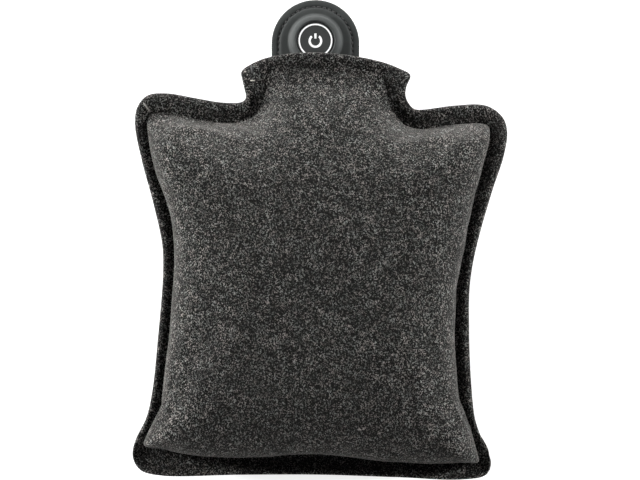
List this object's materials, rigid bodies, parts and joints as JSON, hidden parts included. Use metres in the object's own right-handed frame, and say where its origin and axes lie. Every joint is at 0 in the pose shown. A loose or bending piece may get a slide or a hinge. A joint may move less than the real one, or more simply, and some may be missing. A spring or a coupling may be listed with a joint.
{
  "type": "electric hot water bottle",
  "caption": "Stuffed felt heating cushion in the shape of a hot water bottle, with a zip across the back and a round push switch on a leather tab at the neck.",
  "frame": {"origin": "on the resting plane, below the middle of the whole object's outline", "axes": "+Z out of the front face, +Y towards the neck and the switch tab, +X to the right when the front face is looked at"},
  "size_m": [0.2614, 0.3351, 0.0746],
  "materials": {
    "felt": "thick charcoal melange wool felt",
    "tab_leather": "fine-grained black leather",
    "tab_leather_back": "plain black leather",
    "dark_plastic": "matt black",
    "circuit_board": "green solder mask",
    "dome_steel": "spring steel",
    "button_cap": "soft matt black",
    "white_inlay": "white, lit from below when on",
    "ribbon": "amber film",
    "connector": "off-white nylon",
    "lining": "plain grey woven cloth",
    "filling": "off-white wadding",
    "heating_layer": "needled carrier felt",
    "heating_wire": "red-brown silicone-covered heating wire",
    "lead": "black insulation",
    "battery_case": "matt black moulding",
    "cell_wrap": "green shrink sleeve",
    "nickel": "nickel strip",
    "socket_steel": "plated steel shell",
    "zip_tape": "black woven tape with black moulded teeth",
    "zip_metal": "dark plated zinc"
  },
  "bodies": {
    "cushion": {"cover_front": "felt", "cover_back_upper": "felt", "cover_back_lower": "felt", "tab_leather_front": "tab_leather", "tab_leather_back": "tab_leather_back", "tab_stiffener": "dark_plastic", "switch_housing": "dark_plastic", "switch_bezel": "dark_plastic", "control_board": "circuit_board", "snap_dome": "dome_steel", "tab_ribbon": "ribbon", "ribbon_plug": "connector", "lead_socket": "connector", "lining_front": "lining", "lining_back": "lining", "filling_front": "filling", "filling_back": "filling", "heating_layer": "heating_layer", "heating_wire": "heating_wire", "wire_terminal": "dark_plastic", "heater_lead": "lead", "battery_lead": "lead", "battery_case_base": "battery_case", "battery_case_lid": "battery_case", "cell_left": "cell_wrap", "cell_right": "cell_wrap", "cell_link_front": "nickel", "cell_tab_left": "nickel", "cell_tab_right": "nickel", "protection_board": "circuit_board", "charging_socket": "socket_steel", "zip_tape_upper": "zip_tape", "zip_tape_lower": "zip_tape", "zip_stop_upper": "zip_metal", "zip_stop_lower": "zip_metal", "zip_end_stop": "zip_metal"},
    "button": {"button_cap": "button_cap", "button_ring": "white_inlay", "power_arc": "white_inlay", "power_bar": "white_inlay"},
    "zip_slider": {"zip_slider": "zip_metal"},
    "zip_pull": {"zip_pull": "zip_metal"}
  },
  "joints": [
    {"name": "button_press", "type": "slide", "parent": "cushion", "child": "button", "axis": [0, 0, -1], "range_m": [0, 0.0006], "stiffness_N_per_m": 1500, "deforming": ["snap_dome"]},
    {"name": "zip_slide", "type": "slide", "parent": "cushion", "child": "zip_slider", "axis": [-1, 0, 0], "range_m": [0, 0.11], "deforming": ["zip_tape_upper", "zip_tape_lower"]},
    {"name": "zip_pull_swing", "type": "hinge", "parent": "zip_slider", "child": "zip_pull", "pos_m": [0.05035, -0.08, 0.0019], "axis": [0, 1, 0], "range_deg": [0, 150]}
  ]
}
